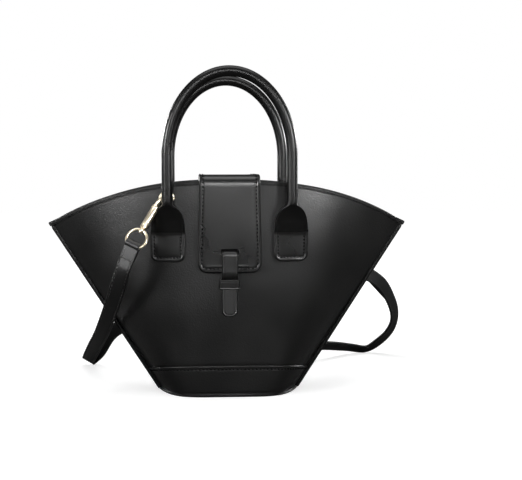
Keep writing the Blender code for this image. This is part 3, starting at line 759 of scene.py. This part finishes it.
back_y = on_panel(0, flap_root_height)[0].y
back_length, back_where = along_route(rounded_route(
    [(-back_y + 0.0043, flap_root_height), (flap_face, flap_top), (0.0, flap_top)], flap_bend
))
back_spot = flap_spot_on(back_where, -1)
back_bm = soft_strip(
    back_spot, lambda l: flap_narrow, back_length, flap_thick, 100, 110, corner=0.004, edge=0.0010,
    relief=flap_relief, crowd=1.25,
)
paint_border(back_bm, lambda l: flap_narrow, 0.0, flap_corner, flap_border, 2)
for side in (-1, 1):
    line = []
    for index in range(120):
        l = back_length * (0.035 + 0.965 * index / 119)
        here, outward = back_spot(side * (flap_narrow - flap_sewn_inset), l)
        line.append((here + outward * flap_stitch_rise, outward))
    sew(back_bm, line)
flap_back = piece("flap_back_leather", back_bm, smooth_hide, thread, painted_edge)
fit(flap_back, "rolled_leather", None, "flap_back", "flap_back_lining")
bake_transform(flap_back)


# The closure: a leather tongue sewn behind the flap comes out of the slot, runs over the flap's
# foot and tucks down behind a small loop sewn to the front panel.
tongue_half, tongue_thick, tongue_rise, tongue_corner = 0.0065, 0.0017, 0.0012, 0.0055


def before_panel(z, out=0.0):
    return on_panel(0, z)[0].y - gap - tongue_thick / 2 - out, z


def on_flap(z, behind=0.0):
    return hanging(z) - tongue_rise + behind, z


behind_flap = flap_thick + 2 * tongue_rise
tongue_corners = [
    before_panel(0.0668, 0.0014), before_panel(0.0895), before_panel(0.0975),
    on_flap(0.1015), on_flap(0.1192), on_flap(0.1209, behind_flap), on_flap(0.1330, behind_flap),
]
tongue_length, tongue_where = along_route(rounded_route(tongue_corners, 0.0024, 6))


def tongue_spot(x, l):
    (y, z), (out_y, out_z) = tongue_where(l)
    return Vector((x, y, z)), Vector((0, out_y, out_z))


tongue_bm = soft_strip(
    tongue_spot, lambda l: tongue_half, tongue_length, tongue_thick, 56, 150, corner=tongue_corner,
    relief=((0.0009, 0.0002, 0.0004), (0.0017, -0.0003, 0.0004)), crowd=1.1,
)
paint_border(tongue_bm, lambda l: tongue_half, tongue_corners[0][1], tongue_corner, 0.0009, 1)
# The tongue is the flap's black leather given a lighter shade: painted light for its lit tip.
tongue_lightened_hide = leather("tongue_leather", 0.0062, 0.34, 1500, 0.00005)
tongue = piece("tongue_leather", tongue_bm, tongue_lightened_hide, painted_edge)
fit(tongue, "rolled_leather", "flap_front", "closure_tongue")

keeper_height, keeper_half = 0.0935, 0.0040
half_loop = [(-0.0084, 0.0008), (-0.0077, 0.0008), (-0.0072, 0.0032)]
keeper_length, keeper_where = along_route(
    rounded_route(half_loop + [(-x, out) for x, out in reversed(half_loop)], 0.0009, 6)
)


def keeper_spot(x, l):
    """l runs across the bag over the loop, from foot to foot, and x up it."""
    (across, out), (lean, lift) = keeper_where(l)
    here, outward = on_panel(across, keeper_height + x, out)
    return here, (outward * lift + Vector((lean, 0, 0))).normalized()


keeper_bm = soft_strip(
    keeper_spot, lambda l: keeper_half, keeper_length, 0.0013, 44, 90, edge=0.0005,
    relief=((0.0006, 0.0001, 0.0004), (0.0013, -0.0001, 0.0003)),
)
for face in keeper_bm.faces:
    if abs(face.normal.z) > 0.5:
        face.material_index = 1
fit(piece("keeper_leather", keeper_bm, smooth_hide, painted_edge), "rolled_leather", "bag", "keeper_loop")


# The handles: leather rolled round a firm core. At each end it opens out into a padded bell and
# then a flat tab sewn to the panel, so a handle and its two tabs are one skin.
leg_half, handle_y, handle_radius = 0.050, -0.0535, 0.0044
leg_foot, spring_height, arch_height = 0.1584, 0.198, 0.0668
tab_half, tab_foot, tab_corner, tab_thick = 0.014, 0.112, 0.006, 0.0026
tab_power = 8  # of its section, nearly a rectangle; a neck is round
pad_line, neck_foot, neck_top = 0.1352, 0.135, 0.1580
tab_sewn_inset, sewn_corner, sewn_top = 0.0033, 0.005, 0.1335


def tab_ring(side, z, angle):
    """A point of the tab's section at height z, on the left where side is -1."""
    lift = ramp(z, neck_foot, neck_top)
    ease = 0.16 * lift + 0.84 * lift**4.5
    past_foot = tab_foot + tab_corner - z
    half = (tab_half - cut_in(past_foot, tab_corner)) * (1 - ease) + handle_radius * ease
    power = 2 / (tab_power * (1 - ease) + 2 * ease)
    shift = half * powered(math.cos(angle), power)
    edge_line = pad_line - 0.0011 * (1 - (shift / tab_half) ** 2)
    pad = 0.12 * ramp(z, edge_line - 0.0010, edge_line + 0.0020) + 0.88 * ramp(z, edge_line, neck_top)
    bell = tab_thick + (handle_radius - tab_thick) * lift * lift
    thick = tab_thick / 2 + (bell - tab_thick / 2) * pad
    depth = thick * powered(math.sin(angle), power)
    x = side * (leg_half - shift)
    centre = on_panel(x, z)[0].y - gap - 0.0024 * pad - thick
    if math.sin(angle) < 0 and pad < 0.5:
        from_edge = from_corner(abs(shift) - (tab_half - tab_corner), past_foot, tab_corner)
        depth += 0.0004 * soft_line(from_edge, tab_sewn_inset, 0.0006)
        depth -= 0.0004 * soft_line(from_edge, 0.0015, 0.0010) + 0.0003 * ramp(from_edge, 0.0040, 0.0090)
    return Vector((x, centre + (handle_y - centre) * ease * ease + depth, z))


tab_heights = [0.11202, 0.1122, 0.1126, 0.1132, 0.1140, 0.1148, 0.1156, 0.1164, 0.1175]
for low, pitch, count in ((0.1185, 0.0011, 14), (0.1337, 0.0003, 14), (0.1382, 0.0009, 22)):
    tab_heights += [low + pitch * index for index in range(count)]
arch = [(-leg_half, leg_foot + (spring_height - leg_foot) * index / 13, 0.0) for index in range(13)]
for index in range(121):
    turn = math.pi * index / 120
    x, z = -leg_half * math.cos(turn), spring_height + arch_height * math.sin(turn)
    arch.append((x, z, math.atan2(leg_half * math.sin(turn), arch_height * math.cos(turn))))
arch += [(leg_half, z, math.pi) for _, z, _ in reversed(arch[:13])]


def handle_ring(entry, angle):
    """A point of the handle's section. Its seam lies on the inside of the arch."""
    x, z, turn = entry
    roll = handle_radius * (1 + 0.012 * noise.noise(Vector((x * 60, 2.0, z * 60))))
    reach = roll - 0.00018 * soft_line(angle, 0.2, 0.12)
    inward = Vector((math.cos(turn), 0, -math.sin(turn)))
    here = Vector((x, handle_y, z)) + inward * (reach * math.cos(angle))
    return here + Vector((0, 1, 0)) * (reach * math.sin(angle))


skin_rings = [(tab_ring, -1, z) for z in tab_heights] + [(handle_ring, entry) for entry in arch]
skin_rings += [(tab_ring, 1, z) for z in reversed(tab_heights)]
last = len(skin_rings) - 1


def skin_spot(s, t):
    ring, *where = skin_rings[round(t * last)]
    return ring(*where, math.pi * s)


skin_bm = mapped(skin_spot, 64, last, loop=True, capped=True)
bmesh.ops.recalc_face_normals(skin_bm, faces=skin_bm.faces)
for face in skin_bm.faces:
    if face.calc_center_median().z > 0.1358:
        face.material_index = 2
    elif abs(face.normal.y) < 0.8:
        face.material_index = 3
middle, reach = tab_foot + sewn_corner, sewn_corner - tab_sewn_inset
half_line = [(tab_half - tab_sewn_inset, sewn_top - (sewn_top - middle) * i / 29) for i in range(30)]
for index in range(1, 10):
    angle = math.pi / 2 * index / 9
    half_line.append((tab_half - sewn_corner + reach * math.cos(angle), middle - reach * math.sin(angle)))
for side in (-1, 1):
    line = []
    for shift, z in half_line + [(-shift, z) for shift, z in reversed(half_line)]:
        x = side * leg_half + shift
        line.append((Vector((x, on_panel(x, z)[0].y - tab_thick, z)), Vector((0, -1, 0))))
    sew(skin_bm, line, length=0.0020, pitch=0.0027)
rolled_hide = leather("rolled_hide", 0.0022, 0.30, 1500, 0.00002, specular=0.22)
front_handle = piece("front_handle_skin", skin_bm, smooth_hide, thread, rolled_hide, painted_edge)
rear_handle = fit_pair(
    front_handle, "rear_handle_skin", "rolled_leather",
    (None, "front_handle", "front_left_handle_tab", "front_right_handle_tab"),
    (None, "rear_handle", "rear_left_handle_tab", "rear_right_handle_tab"),
)
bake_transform(front_handle)
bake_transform(rear_handle)


# Hardware: cast and plated in a pale gold. A ring behind the front left neck and one behind the
# rear right carry the snap hooks, whose swivel eyes hold the strap.
rubbed, bright = (0.80, 0.69, 0.51), (0.87, 0.78, 0.61)
gold, plate, rub = toned("pale_gold_plate", "ShaderNodeTexNoise", 260, rubbed, bright)
turned_to(plate, Metallic=1.0)
turned_to(rub, Detail=3)
nodes, links = with_nodes(gold)
sheen = turned_to(nodes.new("ShaderNodeMapRange"), To_Min=0.29, To_Max=0.35)
wire(
    links,
    (rub.outputs["Fac"], sheen.inputs["Value"]),
    (sheen.outputs["Result"], plate.inputs["Roughness"]),
)
ring_half, ring_height, ring_corner, ring_wire = 0.0065, 0.0086, 0.0028, 0.0010
ring_y, ring_foot = -0.0468, 0.1616

ring_outline = []
for index in range(8):
    angle = math.pi + math.pi / 2 * index / 7
    x = ring_corner - ring_half + ring_corner * math.cos(angle)
    ring_outline.append((x, ring_corner + ring_corner * math.sin(angle)))
ring_outline += [(-x, z) for x, z in reversed(ring_outline)]
for index in range(33):
    angle = math.pi * index / 32
    reach = ring_half * (1 - 0.42 * math.sin(angle))
    ring_outline.append((reach * math.cos(angle), ring_height - ring_half + ring_half * math.sin(angle)))
ring_bm = round_bar(
    [(min(x, x * 0.8) - leg_half, ring_y, ring_foot + z) for x, z in ring_outline], ring_wire, closed=True
)
ring = piece("front_ring_gold", ring_bm, gold)
fit_pair(ring, "rear_ring_gold", "pale_gold", ("bag", "front_hook_ring"), ("bag", "rear_hook_ring"))
for name in ("front_ring_keeper", "rear_ring_keeper"):
    recoat(name, smooth_hide)

lean, rise = math.radians(31), math.radians(17)
hook_down = Vector((-math.sin(lean) * math.cos(rise), -math.sin(rise), -math.cos(lean) * math.cos(rise)))
corner_in = ring_corner * (1 - math.sqrt(0.5))
jaw_middle = Vector((-leg_half - ring_half + corner_in, ring_y, ring_foot + corner_in))
across = Vector((0, -1, 0))
across = (across - hook_down * across.dot(hook_down)).normalized()
hook_place = (
    Matrix.Translation(jaw_middle)
    @ Matrix((across, across.cross(hook_down), hook_down)).transposed().to_4x4()
)


def lathe(profile):
    """A solid of revolution about z from (radius, z) pairs, its first and last on the axis."""
    bm = bmesh.new()
    points = [bm.verts.new((r, 0, z)) for r, z in profile]
    for a, b in zip(points, points[1:]):
        bm.edges.new((a, b))
    bmesh.ops.spin(bm, geom=bm.verts[:] + bm.edges[:], cent=(0, 0, 0), axis=(0, 0, 1),
                   angle=math.tau, steps=28, use_merge=True)
    bmesh.ops.remove_doubles(bm, verts=bm.verts, dist=2e-6)
    bmesh.ops.recalc_face_normals(bm, faces=bm.faces)
    return bm


stem = lathe([
    (0, 0.0284), (0.0018, 0.0284), (0.0024, 0.0280), (0.0025, 0.0273), (0.0031, 0.0270),
    (0.0031, 0.0250), (0.0029, 0.0246), (0.0030, 0.0242), (0.0030, 0.0100),
    (0.0029, 0.0097), (0.0032, 0.0092), (0.0033, 0.0080), (0.0030, 0.0068),
    (0.0020, 0.0058), (0, 0.0055),
])
jaw_points = [(0.0004, 0, 0.0066), (0.0014, 0, 0.0052), (0.0026, 0, 0.0034), (0.0032, 0, 0.0016)]
jaw_radii = [0.0020, 0.0018, 0.0016, 0.0014]
for index in range(15):
    angle = math.pi * index / 14
    jaw_points.append((0.0033 * math.cos(angle), 0, -0.0033 * math.sin(angle)))
    jaw_radii.append(0.0013 - 0.0003 * index / 14)
jaw_bm = round_bar(jaw_points, jaw_radii)
bmesh.ops.scale(jaw_bm, vec=(1, 1.2, 1), verts=jaw_bm.verts)
hook_bm = joined(stem, jaw_bm)
bmesh.ops.transform(hook_bm, matrix=hook_place, verts=hook_bm.verts)
hook = piece("front_hook_gold", hook_bm, gold)

gate_bm = round_bar(
    [(-0.0041, 0, 0.0080), (-0.0042, 0, 0.0066), (-0.0042, 0, 0.0050), (-0.0040, 0, 0.0034),
     (-0.0036, 0, 0.0018), (-0.0033, 0, 0.0006)],
    [0.0006, 0.0008, 0.0008, 0.0008, 0.00085, 0.0009],
)
knob = bmesh.new()
bmesh.ops.create_uvsphere(
    knob, u_segments=14, v_segments=8, radius=0.0009,
    matrix=Matrix.Translation((-0.0046, 0, 0.0054)) @ Matrix.Diagonal((1, 1, 0.8, 1)),
)
lever = round_bar(
    [(-0.0042, 0, 0.0070), (-0.0038, 0.0030, 0.0078), (-0.0014, 0.0046, 0.0088), (0.0002, 0.0048, 0.0100)],
    [0.0007, 0.0008, 0.0009, 0.0008],
)
gate_bm = joined(gate_bm, knob, lever)
bmesh.ops.transform(gate_bm, matrix=hook_place, verts=gate_bm.verts)
gate = piece("front_gate_gold", gate_bm, gold)

stem_foot = 0.0284
eye_top = stem_foot + gap
eye_bar = eye_top + 0.0010 + 0.0137
eye_radius, eye_middle, eye_half = 0.0083, 0.0056, 0.0061
eye_outline = [(eye_half * (index / 3 - 1), 0) for index in range(7)]
for index in range(1, 40):
    angle = math.radians(-42.4 + 264.8 * index / 40)
    eye_outline.append((eye_radius * math.cos(angle), eye_middle + eye_radius * math.sin(angle)))
eye_place = hook_place @ Matrix.Rotation(-math.radians(22), 4, "Z")
eye_bm = joined(
    round_bar([(0, x, eye_bar - z) for x, z in eye_outline], 0.0012, closed=True),
    lathe([(r, eye_top + z) for r, z in (
        (0, 0), (0.0019, 0), (0.0022, 0.0004), (0.0022, 0.0019), (0.0018, 0.0024), (0.0016, 0.0031),
        (0.0011, 0.0036), (0, 0.0037),
    )]),
)
bmesh.ops.transform(eye_bm, matrix=eye_place, verts=eye_bm.verts)
eye = piece("front_eye_gold", eye_bm, gold)
metals = ((hook, "hook", "snap_hook"), (gate, "gate", "hook_gate"), (eye, "eye", "swivel_eye"))
for metal, body, node in metals:
    fit_pair(
        metal, metal.name.replace("front", "rear"), "pale_gold",
        (f"front_{body}", f"front_{node}"), (f"rear_{body}", f"rear_{node}"),
    )


# The shoulder strap: a doubled band of smooth leather, with a row of waxed thread along each edge.
# Each end is folded round its eye and sewn to itself. It leaves the front hook, passes behind the
# bag and comes back to the rear hook.
strap_hide = leather("strap_leather", 0.0030, 0.42, 1300, 0.00008, specular=0.44)
waxed_thread = leather("waxed_thread", 0.04, 0.40, 4000, 0.00006)
strap_half, strap_thick, end_thick, strap_sewn = 0.0064, 0.0022, 0.0017, 0.0048
end_tail, fold_radius = 0.0125, 0.0022
end_place = (
    eye_place
    @ Matrix.Translation((0, 0, eye_bar))
    @ Matrix.Rotation(-math.radians(22), 4, "Y")
    @ Matrix.Rotation(-math.pi / 2, 4, "X")
)
end_turn = end_place.to_3x3()
fold = [(0.0009, -end_tail), (0.0009, -0.0030)]
for index in range(17):
    angle = math.radians(-62 + 304 * index / 16)
    fold.append((fold_radius * math.cos(angle), fold_radius * math.sin(angle)))
fold += [(-0.0009, -0.0030), (-0.0009, -end_tail)]
fold_length, fold_where = along_route([Vector(p) for p in fold])


def fold_spot(x, l):
    (a, b), (out_a, out_b) = fold_where(l)
    return end_place @ Vector((a, b, x)), end_turn @ Vector((-out_a, -out_b, 0))


end_bm = soft_strip(fold_spot, lambda l: strap_half, fold_length, end_thick, 48, 90, edge=0.0005)
for side in (1, -1):
    face, outward = 0.0019 * side, end_turn @ Vector((side, 0, 0))
    edges = [[(face, -0.0118 + 0.0078 * i / 7, x) for i in range(8)] for x in (-strap_sewn, strap_sewn)]
    across_end = [(face, -0.0118, strap_sewn * (2 * i / 7 - 1)) for i in range(8)]
    for line in (*edges, across_end):
        sew(end_bm, [(end_place @ Vector(p), outward) for p in line], 0.0019, 0.0026, 0.0003)
strap_end = piece("front_strap_fold", end_bm, strap_hide, waxed_thread)
fit_pair(
    strap_end, "rear_strap_fold", "rolled_leather",
    ("front_eye", "front_strap_end"), ("rear_eye", "rear_strap_end"),
)

strap_route = (
    ((-0.0894, -0.0515, 0.09450), (0.89, -0.1, -0.38)),
    ((-0.0949, -0.0380, 0.07900), (0.91, 0.15, -0.37)),
    ((-0.1073, 0.0080, 0.04850), (0.9, 0.18, -0.4)),
    ((-0.1188, 0.0600, 0.02700), (0.88, 0.1, -0.46)),
    ((-0.1284, 0.1135, 0.00830), (0.85, 0.06, -0.53)),
    ((-0.1294, 0.1270, 0.00485), (0.85, 0.04, -0.53)),
    ((-0.1260, 0.1303, 0.00695), (0.8, 0.02, -0.59)),
    ((-0.1185, 0.1190, 0.01530), (0.72, 0, -0.69)),
    ((-0.1070, 0.0960, 0.03370), (0.66, 0, -0.75)),
    ((-0.0935, 0.0820, 0.04300), (0.54, 0.02, -0.84)),
    ((-0.0700, 0.0700, 0.04400), (0.25, 0.1, -0.96)),
    ((-0.0350, 0.0680, 0.04200), (0, 0.16, -0.99)),
    ((0.0050, 0.0760, 0.03300), (-0.16, 0.3, -0.94)),
    ((0.0450, 0.0960, 0.02400), (-0.14, 0.55, -0.82)),
    ((0.0800, 0.1240, 0.01750), (-0.16, 0.7, -0.7)),
    ((0.1070, 0.1520, 0.01230), (-0.22, 0.76, -0.62)),
    ((0.1270, 0.1730, 0.00740), (-0.26, 0.78, -0.57)),
    ((0.1445, 0.1810, 0.00460), (0.16, 0.82, -0.54)),
    ((0.1566, 0.1750, 0.01300), (0.5, 0.76, -0.42)),
    ((0.1654, 0.1610, 0.02650), (0.6, 0.78, -0.16)),
    ((0.1672, 0.1450, 0.04250), (0.56, 0.82, 0.1)),
    ((0.1605, 0.1250, 0.06000), (0.6, 0.74, 0.3)),
    ((0.1465, 0.1030, 0.07950), (0.6, 0.5, 0.6)),
    ((0.1240, 0.0820, 0.09300), (0.25, 0.32, 0.92)),
    ((0.1050, 0.0695, 0.09500), (0.15, 0.2, 0.95)),
    ((0.0924, 0.0624, 0.09860), (0.55, -0.15, 0.82)),
)
strap_leads = [end_place @ Vector((0, -end_tail - reach, 0)) for reach in (0.0008, 0.0093)]
strap_points = strap_leads + [Vector(p) for p, _ in strap_route]
strap_points += [Matrix.Rotation(math.pi, 3, "Z") @ point for point in reversed(strap_leads)]
lead_width = end_turn @ Vector((0, 0, 1))
strap_widths = [lead_width] * 2 + [Vector(w).normalized() for _, w in strap_route]
strap_widths += [Matrix.Rotation(math.pi, 3, "Z") @ -lead_width] * 2


def eased(values, at):
    """A smooth curve through the values; at counts them from 0."""
    at = max(0, min(at, len(values) - 1))
    k = min(int(at), len(values) - 2)
    t = at - k
    a, b = values[max(k - 1, 0)], values[k]
    c, d = values[k + 1], values[min(k + 2, len(values) - 1)]
    return (2 * b + (c - a) * t + (2 * a - 5 * b + 4 * c - d) * t**2 + (3 * b - a - 3 * c + d) * t**3) / 2


strap_marks = [0.0]
strap_fine = 24
for index in range(len(strap_points) * strap_fine - strap_fine):
    run = eased(strap_points, (index + 1) / strap_fine) - eased(strap_points, index / strap_fine)
    strap_marks.append(strap_marks[-1] + run.length)


def strap_at(l):
    """The route's parameter at this length along the strap."""
    l = max(0.0, min(l, strap_marks[-1]))
    low, high = 0, len(strap_marks) - 1
    while high - low > 1:
        mid = (low + high) // 2
        low, high = (mid, high) if strap_marks[mid] <= l else (low, mid)
    return (low + (l - strap_marks[low]) / (strap_marks[high] - strap_marks[low])) / strap_fine


def strap_spot(x, l):
    """The middle of the strap's thickness at x across and l along it, and its outward direction."""
    at = strap_at(l)
    run = eased(strap_points, at + 0.3) - eased(strap_points, at - 0.3)
    wide = eased(strap_widths, at)
    wide = (wide - run * (wide.dot(run) / run.length_squared)).normalized()
    return eased(strap_points, at) + wide * x, wide.cross(run).normalized() * -1


def strap_stretch(name, first, last, rows):
    """The strap's stretch between two lengths along it, with both rows of stitches on each face."""
    bm = soft_strip(
        lambda x, l: strap_spot(x, first + l), lambda l: strap_half, last - first, strap_thick, 48, rows,
        edge=0.0007, relief=((0.0008, 0.0002, 0.0005), (strap_half - strap_sewn, -0.0005, 0.0005)),
    )
    count = max(8, int((last - first) / 0.003))
    for x in (-strap_sewn, strap_sewn):
        for face in (1, -1):
            line = []
            for k in range(count):
                here, outward = strap_spot(x, first + 0.001 + (last - first - 0.002) * k / (count - 1))
                line.append((here + outward * (0.00085 * face), outward * face))
            sew(bm, line, radius=0.00034)
    made = piece(name, bm, strap_hide, waxed_thread)
    fit(made, "rolled_leather", None, "shoulder_strap")
    return made


# The strap's middle lies still behind the bag and rides on it; the run at each end is attached to
# no body. A cut is a point of the route.
cuts = [0.0, strap_marks[-1]]
cuts[1:1] = [strap_marks[(len(strap_leads) + index) * strap_fine] for index in (0, 3, 19, 24)]
for name, rows, a, b, *bodies in (
    ("strap_front_end", 24, *cuts[0:2], "front_eye", "front_hook"),
    ("strap_front_run", 80, *cuts[1:3], "front_hook", "bag"),
    ("strap_middle", 330, *cuts[2:4], "bag"),
    ("strap_rear_run", 80, *cuts[3:5], "bag", "rear_hook"),
    ("strap_rear_end", 30, *cuts[4:6], "rear_hook", "rear_eye"),
):
    stretch = strap_stretch(name, a, b, rows)
    if len(bodies) == 1:
        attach(stretch, *bodies)
    else:
        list(bodies)
        strap_spot(0, a)[0]
        strap_spot(0, b)[0]
        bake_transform(stretch)


bpy.context.view_layer.update()
